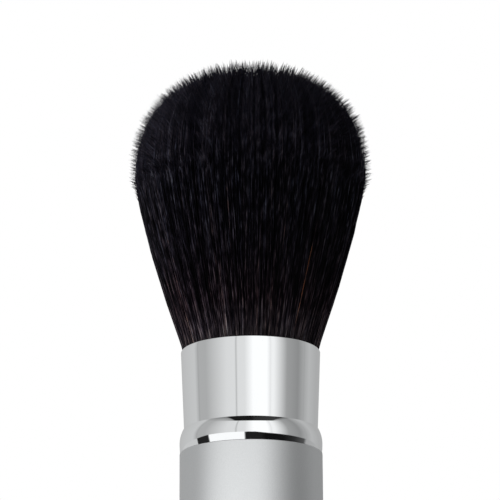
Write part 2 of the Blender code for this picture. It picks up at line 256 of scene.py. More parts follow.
collarFacts = {
    "sides": 192,
    "boreGap": 0.1 * mm,       # round the neck tube
    "spigotGap": 0.05 * mm,    # inside the barrel
    "seam": 0.03 * mm,         # over the barrel's end
    "tuck": 0.12 * mm,         # how far the side turns in at the barrel
    "tuckSteps": 12,
    "widest": 1.75 * mm,       # widest place above the collar's lower edge
    "shoulderSteps": 20,
    "mouthWall": 0.08 * mm,
    "mouthSteps": 6,
}

neckFacts = {
    "sides": 192,
    "radius": 11.25 * mm,
    "wall": 0.35 * mm,
    "flare": 0.55 * mm,
    "flareSteps": 12,
    "bead": 0.20 * mm,         # radius of the rolled rim
    "beadSteps": 14,
    "beadLength": 0.6 * mm,    # how far down the rim is rolled inside
    "flange": 0.35 * mm,
    "flangeGap": 0.1 * mm,     # inside the barrel
    "edge": 0.08 * mm,         # of the flange
}

capFacts = {
    "sides": 192,
    "middle": 1 * mm,          # the disc that the cap is drawn out from
    "thickness": 1.3 * mm,
    "edge": 0.45 * mm,
    "edgeSteps": 10,
    "skirtGap": 0.05 * mm,     # inside the barrel
    "skirtWall": 0.5 * mm,
}


def makePolished(facts):
    material, tree, shader, place = newMaterial("brightPolishedAluminium", facts["colour"],
                                                facts["roughness"], metallic=1.0)
    squash = facts["markSquash"]
    drawn = addNode(tree, "Mapping", {"Vector": place, "Scale": (squash, squash, 1)})
    marks = addNode(tree, "TexNoise", {"Vector": drawn.outputs["Vector"], "Scale": 1 / facts["mark"],
                                       "Detail": 3}).outputs["Fac"]
    addSurface(tree, shader, facts, marks, marks)
    return material


def makeCollar(facts, material):
    tubeBore = neckFacts["radius"] + facts["boreGap"]
    spigotRadius = barrelRadius - barrelFacts["wall"] - facts["spigotGap"]
    bottom, top = barrelHigh.z + facts["seam"], collarHigh.z
    widest = bottom + facts["widest"]
    lip = facts["mouthWall"] / 2
    tuckRadius, tuckSweep = arcThrough(widest - bottom, facts["tuck"])
    shoulderRadius, sweep = arcThrough(top - lip / 2 - widest, barrelRadius - 2 * lip - tubeBore)
    outline = [(tubeBore, collarLow.z), (spigotRadius, collarLow.z), (spigotRadius, bottom)]
    outline += arcPoints((barrelRadius - tuckRadius, widest), tuckRadius, -tuckSweep, 0, facts["tuckSteps"])
    outline += arcPoints((barrelRadius - shoulderRadius, widest), shoulderRadius, 0, sweep,
                         facts["shoulderSteps"])[1:]
    outline += arcPoints((tubeBore + lip, top - lip), lip, sweep, 180, facts["mouthSteps"])
    outline.append((tubeBore, collarLow.z))
    collar = turnPiece("collarSkin", outline, facts["sides"])
    dress(collar, material, "handle", "mouth_collar")


def makeNeck(facts, material):
    radius, wall, edge, bead = facts["radius"], facts["wall"], facts["edge"], facts["bead"]
    rimRadius = radius + facts["flare"]
    flangeRadius = barrelRadius - barrelFacts["wall"] - facts["flangeGap"]
    low, flangeHigh = neckLow.z, neckLow.z + facts["flange"]
    flareLow, flareHigh = collarHigh.z, neckHigh.z - bead
    outline = [
        (radius - wall, low),
        (flangeRadius - edge, low),
        (flangeRadius, low + edge),
        (flangeRadius, flangeHigh),
        (radius, flangeHigh),
    ]
    for step in range(facts["flareSteps"] + 1):
        share = step / facts["flareSteps"]
        outline.append((radius + facts["flare"] * share, flareLow + (flareHigh - flareLow) * share))
    outline += arcPoints((rimRadius - bead, flareHigh), bead, 0, 180, facts["beadSteps"])[1:]
    outline += [
        (rimRadius - wall, neckHigh.z - facts["beadLength"]),
        (radius - wall, flareLow),
        (radius - wall, low),
    ]
    neck = turnPiece("neckSkin", outline, facts["sides"])
    dress(neck, material, "sleeve", "neck_tube")


def makeCap(facts, material):
    edge, thick = facts["edge"], facts["thickness"]
    skirtRadius = barrelRadius - barrelFacts["wall"] - facts["skirtGap"]
    skirtBore = skirtRadius - facts["skirtWall"]
    outline = [(facts["middle"], 0), (barrelRadius / 2, 0)]
    outline += arcPoints((barrelRadius - edge, edge), edge, -90, 0, facts["edgeSteps"])
    outline += [
        (barrelRadius, thick),
        (skirtRadius, thick),
        (skirtRadius, capHigh.z),
        (skirtBore, capHigh.z),
        (skirtBore, thick),
        (facts["middle"], thick),
    ]
    cap = turnPiece("baseCapSkin", outline, facts["sides"], closed=False)
    dress(cap, material, "handle", "base_cap")


polished = makePolished(polishFacts)
makeCollar(collarFacts, polished)
makeNeck(neckFacts, polished)
makeCap(capFacts, polished)
print("polished pieces turned")


# Inner pieces keep the frame's shapes and get the finish of what they are made of

innerCommon = {"metallic": 0.0, "roughSwing": 0.05, "relief": 0.5}

innerFinishes = {
    # Injection moulded acetal: waxy white, a little cloudy along the flow
    "mouldedWhiteAcetal": {
        "nodes": ["guide_bush"], "tones": ("#DEDCD2", "#EBE9E1"), "roughness": 0.38,
        "grain": 1.2 * mm, "stretch": (1, 1, 0.3), "depth": 0.002 * mm},
    # Injection moulded ABS with a fine spark texture: deep grey-black, soft shine
    "mouldedBlackAbs": {
        "nodes": ["base_plug", "carrier"], "tones": ("#131314", "#1C1C1E"), "roughness": 0.46,
        "grain": 0.25 * mm, "stretch": (1, 1, 1), "depth": 0.006 * mm},
    # Injection moulded acetal, dyed black: smoother and waxier than the ABS
    "mouldedBlackAcetal": {
        "nodes": ["tube_foot"], "tones": ("#18181A", "#222224"), "roughness": 0.34,
        "grain": 1.0 * mm, "stretch": (1, 1, 0.3), "depth": 0.002 * mm},
    # Turned steel, zinc plated: bright blue-grey with a faint cloud
    "zincPlatedSteel": {
        "nodes": ["base_weight", "stem_washer", "stem_screw"], "tones": ("#B4B8BC", "#C6C8C8"),
        "roughness": 0.3, "metallic": 1.0, "grain": 0.8 * mm, "stretch": (1, 1, 1), "depth": 0.001 * mm},
    # Drawn aluminium, left as it came from the die: fine lines along the draw
    "drawnAluminium": {
        "nodes": ["stem", "hair_cup"], "tones": ("#C2C4C6", "#D2D4D6"), "roughness": 0.34,
        "metallic": 1.0, "grain": 0.2 * mm, "stretch": (1, 1, 0.02), "depth": 0.002 * mm},
    # Moulded nitrile rubber: matt black with a dusty bloom
    "mouldedNitrileRubber": {
        "nodes": ["stop_bumper", "friction_ring"], "tones": ("#121212", "#1E1D1C"), "roughness": 0.72,
        "grain": 0.5 * mm, "stretch": (1, 1, 1), "depth": 0.004 * mm},
    # Epoxy poured into the cup: glossy amber, a little streaky from mixing
    "castEpoxy": {
        "nodes": ["resin_plug"], "tones": ("#6E5128", "#8A6A38"), "roughness": 0.12,
        "grain": 3 * mm, "stretch": (1, 1, 0.6), "depth": 0.004 * mm},
    # Waxed linen thread, wound tight: buff turns 0.4 mm apart
    "waxedLinenThread": {
        "nodes": ["root_binding"], "tones": ("#A5977A", "#CDBF9F"), "roughness": 0.55,
        "grain": 0.4 * mm, "stretch": (0.02, 0.02, 1), "depth": 0.05 * mm},
}


def makeInnerFinish(name, facts):
    material, tree, shader, place = newMaterial(name, facts["tones"][0], facts["roughness"],
                                                facts["metallic"])
    drawn = addNode(tree, "Mapping", {"Vector": place, "Scale": facts["stretch"]})
    grain = addNode(tree, "TexNoise", {"Vector": drawn.outputs["Vector"], "Scale": 1 / facts["grain"],
                                       "Detail": 3}).outputs["Fac"]
    addSurface(tree, shader, facts, grain, grain)
    return material


for finish, finishFacts in innerFinishes.items():
    innerMaterial = makeInnerFinish(finish, innerCommon | finishFacts)
    for node in finishFacts["nodes"]:
        for slot in frame["nodes"][node].material_slots:
            slot.material = innerMaterial
print("inner pieces finished")


# Hair: dark goat hair, drawn out of the cup in a fan, with soft points that splay out over
# a round dome. Each tuft is one sector of it

hairFacts = {
    "rimRadius": 11.25 * mm,
    "cupRadius": 9.2 * mm,
    "rootGap": 0.4 * mm,       # over the cup's mouth
    "bellyRise": 31.0 * mm,    # where the dome starts, above the rim
    "bellyRadius": 19.85 * mm,
    "fanPower": 1.28,
    "domeRadius": 20.65 * mm,
    "domeRise": 19.3 * mm,
    "domePower": 2.38,
    "lean": 0.45 * mm,         # how far the top of the hair leans to the right
    "leanPower": 3,
    "lowestPoint": 105,        # degrees from the top of the dome down to the lowest points
    "underIn": 0.26,           # past the widest place the points go in and down by these shares
    "underDown": 0.55,         # of the way that they go round the dome
    "splay": 75,               # degrees that the points turn out at the widest place
    "pointLength": 2.3 * mm,
    "bendLength": 2.2 * mm,
    "tufts": 16,
    "strands": 1900,           # in each tuft
    "locks": 390,              # the strands of a lock share a point
    "gather": 0.9,             # how near they are drawn to it, and how late
    "gatherPower": 5,
    "lockReach": (0.2 * mm, 0.18 * mm),     # a lock's point stands this far out, more or less
    "ownReach": 0.15 * mm,                  # and its strands differ by this
    "looseReach": (-1.3 * mm, 0.42 * mm),
    "reachLimits": (-2.4 * mm, 0.7 * mm),
    "loose": 0.45,             # share of strands that stand alone, a little lower
    "lying": 0.45,             # share of these that lie over the dome, under the points
    "lyingDepth": 0.92,        # the deepest of them, as a share of the dome's radius
    "lyingBend": 2.0 * mm,     # they bend at least this far under their points
    "wander": 0.4 * mm,        # how far a strand bows to one side, and to and fro
    "waver": 0.2 * mm,
    "leastRadius": 2.0 * mm,   # nearer the axis than this, a bow turns a strand no further
    "width": 0.08 * mm,        # half of a strand's width
    "widthRange": (0.7, 1.15),
    "coreDepth": 3.0 * mm,
    "coreShare": 0.85,         # of the side's radius
    "coreAngles": (85, 72, 59, 46, 33, 20, 9, 0),
    "coreSteps": 8,
    "keep": 0.48,              # how narrow the sleeve squeezes the hair
}

# A strand's nine stations: five up its side and four round the bend to its point
strandWidths = (1, 1, 1, 1, 1, 0.85, 0.6, 0.3, 0.05)
stationShares = np.array([0, 0.1, 0.25, 0.45, 0.7, 0.8, 0.88, 0.95, 1])
sideStations = 5
bendShares = (0.3, 0.55, 0.8, 1)

# Tint of the hair, on the scale of the tones below, and how much it differs
tintFacts = {
    "middle": 0.355,
    "strand": 0.28,            # from strand to strand
    "lock": 0.14,              # from lock to lock
    "streak": 0.28,            # from streak to streak
    "along": 0.06,             # along a strand
    "streaks": 22,             # across a tuft
    "strandFade": 0.75,        # how much of each is lost at the points
    "streakFade": 0.3,
    "alongFade": 0.6,
    "foot": 0.45,              # how much of it all there is at the foot, and how fast it grows
    "footRise": 2.2,
    "warmth": 0.6,             # of the warmest strands
}

# Single hairs on the outside: degrees to the right of the camera at the rim and at the point,
# rise of the point, tint at their lightest, warmth
strayHairs = [
    (38, 42.3, 27.5 * mm, 0.9, 0.9),
    (-12, -18, 33 * mm, 0.57, 0.2),
    (9, 2, 26 * mm, 0.58, 0.3),
    (-1, 6, 30 * mm, 0.56, 0.4),
    (-5, -10, 20 * mm, 0.57, 0.4),
    (-27, -24, 30 * mm, 0.57, 0.3),
    (20, 28, 31 * mm, 0.56, 0.1),
    (-42, -47, 28 * mm, 0.58, 0.4),
    (14, 12, 22 * mm, 0.57, 0.2),
]
strayFacts = {
    "proud": 0.2 * mm,         # how far they stand out of the side
    "proudFrom": 0.25,         # from this share of their length on
    "direction": (0.25, 0.97),    # outward and upward
    "lightest": 0.375,         # share of their length, and how fast they darken from there
    "darken": 3.6,
    "width": 0.6,              # of a strand's
}

hairLook = {
    "colour": "#0B0B0D",
    "roughness": 0.45,
    "specular": 0.04,
    "paintedGlintLength": 1 / 480,    # in metres, about 2 mm
    "paintedGlintsRound": 48,         # in a radian round the axis
    "paintedGlintSwing": (-0.26, 0.28),    # what a painted glint and a gap between glints do to the tint
    "paintedLightGain": 5.0,               # over all of the painted light by height
}
# How much the painted glints count, from the rim at 0 to the top of the hair at 1
paintedGlintShares = [(0, 0.4), (0.12, 1), (0.5, 1), (0.8, 0.25)]
# Tones of the hair by its tint, for the cool hairs and for the warm ones
coolTones = [
    (0.11, "#000002"), (0.28, "#06060A"), (0.355, "#0B0B10"), (0.44, "#121219"), (0.6, "#292B33"),
    (0.71, "#3E434A"),
]
warmTones = [
    (0.11, "#000000"), (0.28, "#080608"), (0.355, "#0E0B0C"), (0.44, "#161112"), (0.6, "#332928"),
    (0.75, "#4A3D37"), (1, "#7C5432"),
]
# Painted light and shade in the hair's colour, from the rim to the top: lightest on the foot, where the
# metal throws some light, dark up the side, and lighter again over the dome
paintedLightByHeight = [
    (0, (1.6, 1.45, 1.14)), (0.04, (0.89, 0.75, 0.67)), (0.12, (0.28, 0.2, 0.205)),
    (0.25, (0.143, 0.12, 0.139)), (0.5, (0.157, 0.16, 0.186)), (0.66, (0.51, 0.51, 0.55)),
    (0.85, (0.74, 0.77, 0.8)),
]


# Goat hair, dyed black: each hair is soft and dull, with short cool painted glints in its colour,
# and a few hairs are a warm brown
def makeHairMaterial(look):
    material, tree, shader, place = newMaterial("dyedGoatHair", look["colour"], look["roughness"])
    shader.inputs["Specular IOR Level"].default_value = look["specular"]
    tint = addNode(tree, "Attribute", attribute_name="tint").outputs["Fac"]
    warmth = addNode(tree, "Attribute", attribute_name="warmth").outputs["Fac"]
    height = addNode(tree, "SeparateXYZ", {"Vector": place}).outputs["Z"]
    share = addNode(tree, "MapRange", {"Value": height, "From Min": neckHigh.z,
                                       "From Max": hairHigh.z}).outputs["Result"]
    # Painted glints: the tint of a hair is lighter over part of its length only, and less over the dome.
    # The glints follow the hairs, which fan out from the axis, and are two or three hairs wide so that
    # they show
    flat = addNode(tree, "VectorMath", {0: place, 1: (1, 1, 0)}, operation="MULTIPLY")
    outward = addNode(tree, "VectorMath", {0: flat.outputs[0]}, operation="NORMALIZE")
    along = addNode(tree, "VectorMath", {0: place, 1: (0, 0, 1 / look["paintedGlintLength"])},
                    operation="MULTIPLY")
    drawn = addNode(tree, "VectorMath", {0: outward.outputs[0], 2: along.outputs[0],
                                         1: (look["paintedGlintsRound"], look["paintedGlintsRound"], 0)},
                    operation="MULTIPLY_ADD")
    glint = addNode(tree, "TexNoise", {"Vector": drawn.outputs[0], "Scale": 1, "Detail": 2})
    swing = addNode(tree, "MapRange", {"Value": glint.outputs["Fac"], "From Min": noiseLow,
                                       "From Max": noiseHigh, "To Min": look["paintedGlintSwing"][0],
                                       "To Max": look["paintedGlintSwing"][1]})
    paintedGlintRate = addNode(tree, "ValToRGB", {"Fac": share}, [(at, evenGrey(rate)) for at, rate in paintedGlintShares])
    level = addNode(tree, "Math", {0: swing.outputs["Result"], 1: paintedGlintRate.outputs["Color"], 2: tint},
                    operation="MULTIPLY_ADD").outputs[0]
    cool, warm = [addNode(tree, "ValToRGB", {"Fac": level},
                          [(at, linearColour(tone)) for at, tone in tones])
                  for tones in (coolTones, warmTones)]
    colour = addNode(tree, "Mix", {"Factor": warmth, "A": cool.outputs["Color"],
                                   "B": warm.outputs["Color"]}, data_type="RGBA")
    # Painted light and shade: the colour is lightened or darkened by the height on the hair
    paintedLightRamp = addNode(tree, "ValToRGB", {"Fac": share}, [(at, [*light, 1]) for at, light in paintedLightByHeight])
    paintedLitColour = addNode(tree, "VectorMath", {0: colour.outputs["Result"], 1: paintedLightRamp.outputs["Color"]},
                     operation="MULTIPLY")
    scaled = addNode(tree, "VectorMath", {0: paintedLitColour.outputs[0], "Scale": look["paintedLightGain"]}, operation="SCALE")
    tree.links.new(scaled.outputs[0], shader.inputs["Base Color"])
    return material


def sideRadius(rise, facts):
    # Radius of the hair's side above the neck's rim, and down in the cup below it
    rim, belly, cup = facts["rimRadius"], facts["bellyRadius"], facts["cupRadius"]
    share = np.clip(rise / facts["bellyRise"], 0, 1)
    fan = belly - (belly - rim) * (1 - share) ** facts["fanPower"]
    below = np.clip(-rise / (neckHigh.z - cupHigh.z), 0, 1)
    return np.where(rise > 0, fan, rim + (cup - rim) * below)


def domePoint(angle, facts):
    # Place on the dome at an angle from its top, with the direction that a point takes there
    power = 2 / facts["domePower"]
    upper = np.minimum(angle, math.pi / 2)
    radius = facts["domeRadius"] * np.sin(upper) ** power
    rise = facts["bellyRise"] + facts["domeRise"] * np.cos(upper).clip(0) ** power
    under = np.maximum(angle - math.pi / 2, 0) * facts["domeRadius"]
    radius, rise = radius - facts["underIn"] * under, rise - facts["underDown"] * under
    splay = math.radians(facts["splay"]) * np.sin(upper)
    return radius, rise, np.sin(splay), np.cos(splay)


def strandShape():
    # One strand with three sides. Its heights number the stations along a hair's path
    outline = [(width, station) for station, width in enumerate(strandWidths)]
    strand = turnPiece("strandShape", outline, 3, closed=False)
    points = np.array([v.co for v in strand.data.vertices])
    faces = [list(f.vertices) for f in strand.data.polygons]
    bpy.data.objects.remove(strand)
    return {
        "across": points[None, :, :2],
        "station": np.rint(points[:, 2]).astype(int),
        "quads": np.array([f for f in faces if len(f) == 4]),
        "ends": np.array([f for f in faces if len(f) == 3]),
    }


def drawTips(spread, facts):
    # Where the strands end: an angle from the dome's top and a place across the tuft, and for
    # all but the loose ones a shared point that they are drawn to
    number, locks = facts["strands"], facts["locks"]
    lowest = 1 - math.cos(math.radians(facts["lowestPoint"]))
    angle = np.arccos(1 - dice.random(number) * lowest)
    side = dice.random(number) - 0.5
    lockAngle = np.arccos(1 - dice.random(locks) * lowest)
    lockSide = dice.random(locks) - 0.5
    lockReach = dice.normal(*facts["lockReach"], locks)
    lockTint = dice.random(locks)
    sideways = (lockSide - side[:, None] + 0.5) % 1 - 0.5
    apart = (angle[:, None] - lockAngle) ** 2 + (np.sin(angle)[:, None] * sideways * spread) ** 2
    lock = apart.argmin(axis=1)
    loose = dice.random(number) < facts["loose"]
    lying = loose & (dice.random(number) < facts["lying"])
    gather = np.where(loose, 0, facts["gather"])
    reach = np.where(loose, dice.normal(*facts["looseReach"], number),
                     lockReach[lock] + dice.normal(0, facts["ownReach"], number))
    return {
        "angle": angle,
        "side": side * spread,
        "lying": lying,
        "drift": sideways[np.arange(number), lock] * spread * gather,
        "tipAngle": angle + (lockAngle[lock] - angle) * gather,
        "reach": reach.clip(*facts["reachLimits"]),
        "lockTint": lockTint[lock],
    }


def strandRuns(tips, facts):
    # Radius and rise of each strand at its stations, and the direction that it takes there:
    # up the side to a bend, and out past a knot to its point
    angle, lying, reach = tips["angle"], tips["lying"], tips["reach"]
    knotR, knotZ, outward, upward = domePoint(angle, facts)
    knotR, knotZ = knotR - facts["pointLength"] * outward, knotZ - facts["pointLength"] * upward
    arch = math.pi / 2 - np.minimum(angle, math.pi / 2)
    depth = dice.uniform(facts["lyingDepth"], 1, len(angle))
    knotR = np.where(lying, (facts["domeRadius"] + reach) * depth, knotR)
    knotZ = np.where(lying, facts["bellyRise"] + facts["domeRise"] * np.tan(arch / 2), knotZ)
    past = np.clip((angle - math.pi / 2) / math.radians(facts["lowestPoint"] - 90), 0, 1)
    sideShare = np.clip(knotR / sideRadius(knotZ, facts), 0, 1)
    sideShare = sideShare + (1 - sideShare) * past
    knotR = sideShare * sideRadius(knotZ, facts)
    tipR, tipZ, outward, upward = domePoint(tips["tipAngle"], facts)
    tipR, tipZ = tipR + reach * outward, tipZ + reach * upward
    bendZ = np.where(lying, np.minimum(facts["bellyRise"], tipZ - facts["lyingBend"]),
                     knotZ - facts["bendLength"])
    rootZ = cupHigh.z + facts["rootGap"] - neckHigh.z

    rise = rootZ + np.linspace(0, 1, sideStations)[None, :] * (bendZ - rootZ)[:, None]
    radius = sideShare[:, None] * sideRadius(rise, facts)
    step = 0.1 * mm
    climb = sideRadius(rise + step, facts) - sideRadius(rise - step, facts)
    slope = sideShare[:, None] * climb / (2 * step)
    size = np.hypot(slope, 1)
    runs = [radius, rise, slope / size, 1 / size]
    bendR = radius[:, -1]
    for part in bendShares:
        r = (1 - part) ** 2 * bendR + 2 * part * (1 - part) * knotR + part ** 2 * tipR
        z = (1 - part) ** 2 * bendZ + 2 * part * (1 - part) * knotZ + part ** 2 * tipZ
        dr = (1 - part) * (knotR - bendR) + part * (tipR - knotR)
        dz = (1 - part) * (knotZ - bendZ) + part * (tipZ - knotZ)
        size = np.hypot(dr, dz)
        runs = [np.column_stack(pair) for pair in zip(runs, (r, z, dr / size, dz / size))]
    return runs


def strandTurns(tips, middle, radius, facts):
    # How far round the axis each strand is at its stations: it bows a little on its way up, and
    # its end is drawn to the shared point
    share = stationShares
    wander = dice.normal(0, facts["wander"], (len(radius), 1)) * share * (1 - share) * 4
    wander += dice.normal(0, facts["waver"], (len(radius), 1)) * np.sin(2 * math.pi * share)
    drift = tips["drift"][:, None] * share ** facts["gatherPower"]
    return (middle + tips["side"])[:, None] + drift + wander / np.maximum(radius, facts["leastRadius"])


def strandTints(tips, across, tints):
    # Streaks run all the way up, while the single hairs fade into them over the dome
    share = stationShares
    streaks = dice.random(tints["streaks"])
    streak = np.interp(across, np.linspace(0, 1, tints["streaks"]), streaks) - 0.5
    single = tints["strand"] * (dice.random(len(across)) - 0.5) + tints["lock"] * (tips["lockTint"] - 0.5)
    tint = single[:, None] * (1 - tints["strandFade"] * share ** 3)
    tint += tints["streak"] * streak * (1 - tints["streakFade"] * share ** 2)
    tint += dice.normal(0, tints["along"], across.shape) * (1 - tints["alongFade"] * share ** 3)
    return tints["middle"] + tint * np.minimum(1, tints["foot"] + tints["footRise"] * share)


def strayRows(number, spread, facts):
    # The stray hairs that start in this tuft, with their warmth
    stray = strayFacts
    way = np.linspace(0, 1, len(strandWidths))
    for rimSide, tipSide, tipRise, lightest, warmth in strayHairs:
        start, end = math.radians(rimSide - 90), math.radians(tipSide - 90)
        if (start % (2 * math.pi)) // spread == number:
            rise = way * tipRise
            radius = sideRadius(rise, facts) + stray["proud"] * np.minimum(1, way / stray["proudFrom"])
            turn = start + (end - start) * way ** 2
            outward, upward = [np.full(len(way), part) for part in stray["direction"]]
            tint = lightest - stray["darken"] * (way - stray["lightest"]) ** 2
            yield (radius, rise, outward, upward, turn, tint), warmth


def coreOutline(facts):
    # Middle of the hair, under the strands that show. Its tint of 0 makes it black, painted shade deep
    # inside the hair
    depth, share = facts["coreDepth"], facts["coreShare"]
    root = cupHigh.z + facts["rootGap"]
    rises = np.linspace(0, 1, facts["coreSteps"]) * (facts["bellyRise"] - depth)
    outline = [(0, root), (share * facts["cupRadius"], root)]
    outline += [(share * float(sideRadius(rise, facts)), neckHigh.z + rise) for rise in rises]
    for angle in np.radians(facts["coreAngles"]):
        radius, rise, outward, upward = domePoint(angle, facts)
        outline.append((max(0, radius - depth * outward), neckHigh.z + rise - depth * upward))
    return outline


def coreWedge(core, middle, spread, first):
    # The sector of the core under one tuft: three points to a row, closed by its two flat sides
    points = [(r * math.cos(middle + part * spread), r * math.sin(middle + part * spread), h)
              for r, h in core for part in (-0.5, 0, 0.5)]
    last = len(core) - 1
    bottom, top = first, first + last * 3
    faces = []
    for row in range(1, last - 1):
        for corner in (first + row * 3, first + row * 3 + 1):
            faces.append([corner, corner + 1, corner + 4, corner + 3])
    for col in range(2):
        faces.append([bottom, first + 3 + col + 1, first + 3 + col])
        faces.append([top, first + (last - 1) * 3 + col, first + (last - 1) * 3 + col + 1])
    faces.append([bottom] + [first + row * 3 for row in range(1, last)] + [top])
    faces.append([top] + [first + row * 3 + 2 for row in range(last - 1, 0, -1)] + [bottom])
    return points, faces


def sweepStrands(runs, turn, width, strand, facts):
    # The points of the strand's shape, carried to each hair's stations
    radius, rise, alongR, alongZ, a = [run[:, strand["station"]] for run in (*runs, turn)]
    offN, offB = strand["across"][..., 0] * width, strand["across"][..., 1] * width
    r = radius + offN * alongZ
    z = neckHigh.z + rise - offN * alongR
    upShare = rise / (facts["bellyRise"] + facts["domeRise"])
    lean = facts["lean"] * upShare.clip(0) ** facts["leanPower"]
    x = r * np.cos(a) - offB * np.sin(a) + lean
    y = r * np.sin(a) + offB * np.cos(a)
    return np.stack([x, y, z], axis=-1).reshape(-1, 3)


def makeTuft(number, spread, strand, core, material, facts):
    middle = (number + 0.5) * spread
    tips = drawTips(spread, facts)
    runs = strandRuns(tips, facts)
    turn = strandTurns(tips, middle, runs[0], facts)
    tint = strandTints(tips, (turn - middle) / spread + 0.5, tintFacts)
    warmth = dice.uniform(0, tintFacts["warmth"], len(tint))
    for rows, strayWarmth in strayRows(number, spread, facts):
        *runs, turn, tint = [np.vstack(pair) for pair in zip((*runs, turn, tint), rows)]
        warmth = np.append(warmth, strayWarmth)
    width = facts["width"] * dice.uniform(*facts["widthRange"], len(tint))[:, None]
    width[facts["strands"]:] *= strayFacts["width"]

    points = sweepStrands(runs, turn, width, strand, facts)
    station, size = strand["station"], len(strand["station"])
    first = np.arange(len(tint))[:, None, None] * size
    faces = (strand["quads"] + first).reshape(-1, 4).tolist()
    faces += (strand["ends"] + first).reshape(-1, 3).tolist()
    corePoints, coreFaces = coreWedge(core, middle, spread, len(points))
    # The core gets a tint and warmth of 0: painted shade, black like the deep inside of the hair
    dark = np.zeros(len(corePoints))
    mesh = bpy.data.meshes.new("hairTuft")
    mesh.from_pydata(points.tolist() + corePoints, [], faces + coreFaces)
    for name, values in (("tint", tint[:, station].reshape(-1)), ("warmth", np.repeat(warmth, size))):
        attribute = mesh.attributes.new(name, "FLOAT", "POINT")
        attribute.data.foreach_set("value", np.concatenate([values, dark]).astype(np.float32))
    mesh.polygons.foreach_set("use_smooth", [True] * len(mesh.polygons))
    mesh.materials.append(material)
    tuft = bpy.data.objects.new(f"hairTuft{number + 1:02d}", mesh)
    bpy.context.scene.collection.objects.link(tuft)
    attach(tuft, "handle")
    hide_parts("bristles")
    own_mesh(tuft)


def makeHair(facts):
    material = makeHairMaterial(hairLook)
    strand = strandShape()
    core = coreOutline(facts)
    for number in range(facts["tufts"]):
        makeTuft(number, 2 * math.pi / facts["tufts"], strand, core, material, facts)


makeHair(hairFacts)
print("hair drawn")


# Studio: a pale floor and a white room, as polished metal shows it

studioFacts = {
    "floorRadius": 0.24,
    "floorSides": 96,
    "floorGap": 0.05 * mm,     # so that the floor and the cap's underside are not one face
    "floorColour": "#F1F1F0",
    "floorRoughness": 0.8,
    "fadeFrom": 0.45,          # share of the radius where the floor starts to fade
    "ambient": 0.55,
    "lampAway": 0.8,
}

# Lamps, by degrees to the right of the camera, height and power. The wide one is linked to the
# satin barrel, which shows it as a broad highlight
lampFacts = {
    "softbox": {"azimuth": -52, "height": 0.16, "power": 3.6, "size": (0.45, 1.0)},
    "sideLight": {"azimuth": -100, "height": 0.04, "power": 2.6, "size": (0.3, 0.6)},
    "wideLight": {"azimuth": -27, "height": 0.2, "power": 3.4, "size": (2.8, 0.5), "only": "barrelSkin"},
}

# The screens round the brush. Each has its left and its right side, in degrees to the right of the
# camera, with the grey level there, and from one screen to the next the grey blends
roomScreens = {
    "backLeft": ((-180, 180), (-107, 195)),
    "left": ((-98, 170), (-80, 170)),
    "frontLeft": ((-40, 215), (-10, 220)),
    "front": ((4, 255), (27, 255)),
    "frontRight": ((31, 240), (39, 240)),
    "right": ((63, 155), (86, 140)),
    "farRight": ((97, 160), (115, 180)),
    "backRight": ((140, 170), (180, 170)),
}
# The dark and white things that stand low round the brush, in the same way, and how many degrees
# higher or lower than 8 they reach
lowThings = {
    "backLeft": ((-180, 200), (-97, 200)),
    "darkLeft": ((-96, 35), (-72, 35)),
    "white": ((-71, 255), (-11, 255)),
    "darkFront": ((-9, 30), (16, 30)),
    "darkRight": ((24, 15), (55, 20)),
    "dimRight": ((75, 45), (95, 80)),
    "backRight": ((101, 165), (180, 190)),
}
lowReach = [
    (-180, 0.6), (-97, 0.6), (-72, 1.3), (-45, 0.9), (-12, 0.5), (-9, 0.2), (-4, 0.55), (2, 0.35),
    (6, 0.55), (12, 0.1), (18, -0.3), (30, -0.8), (60, -0.8), (90, -0.5), (101, 0), (180, 0),
]
# How light the table under the brush is
tablePicture = [
    (-180, 0.45), (-120, 0.4), (-75, 0.75), (25, 0.8), (60, 0.3), (110, 0.2), (150, 0.35), (180, 0.45),
]
# Thin dark gaps between the white screens: middle and how much of the light is left
screenGaps = [(-98, 0.9), (-24, 0.66), (33, 0.93), (101, 0.96)]
# A dark panel overhead, by its place across, from 0 at the left to 1: how much of it there is,
# and its grey levels
panelPicture = [
    (0.03, 0.04), (0.1, 0.2), (0.17, 0.38), (0.235, 0.6), (0.262, 1), (0.82, 1), (0.845, 0.5), (0.9, 0),
]
panelShades = [(0.28, 26), (0.5, 24), (0.56, 46), (0.82, 58)]

roomFacts = {
    "tableEdge": (-4, -3),         # degrees over the horizon where the table ends, softly
    "lowEdge": (6.5, 7.0),         # the same for what stands low, less its reach and a degree
    "reachRange": 3,               # a ramp holds 0 to 1, for a reach from -1 to 2 degrees
    "panelEdge": (45.3, 46.5),
    "panelLeast": 0.05,            # least height that the panel's sides are worked out for
    "gapHalf": 0.3,                # degrees from a gap's middle to where it is darkest
    "gapEdge": 1.8,                # and to its edge, where the screens are a little lighter
    "gapBeside": 1.03,
    "leanHeights": (-0.1, 0.2),    # heights, as sines, between which what stands low leans outward
    "leans": (1.06, 0.985),        # and what its azimuth is multiplied by there
}


def sideLevels(things):
    return [(a, linearGrey(grey)) for sides in things.values() for a, grey in sides]


def byAzimuth(tree, share, levels):
    return addNode(tree, "ValToRGB", {"Fac": share},
                   [((a + 180) / 360, colour) for a, colour in levels]).outputs["Color"]


def azimuthShare(tree, azimuth):
    return addNode(tree, "MapRange", {"Value": azimuth, "From Min": -math.pi,
                                      "From Max": math.pi}).outputs["Result"]


def heightStep(tree, height, edge):
    # 0 under one height above the horizon and 1 over the other, in degrees
    low, high = [math.sin(math.radians(angle)) for angle in edge]
    return addNode(tree, "MapRange", {"Value": height, "From Min": low, "From Max": high}).outputs["Result"]


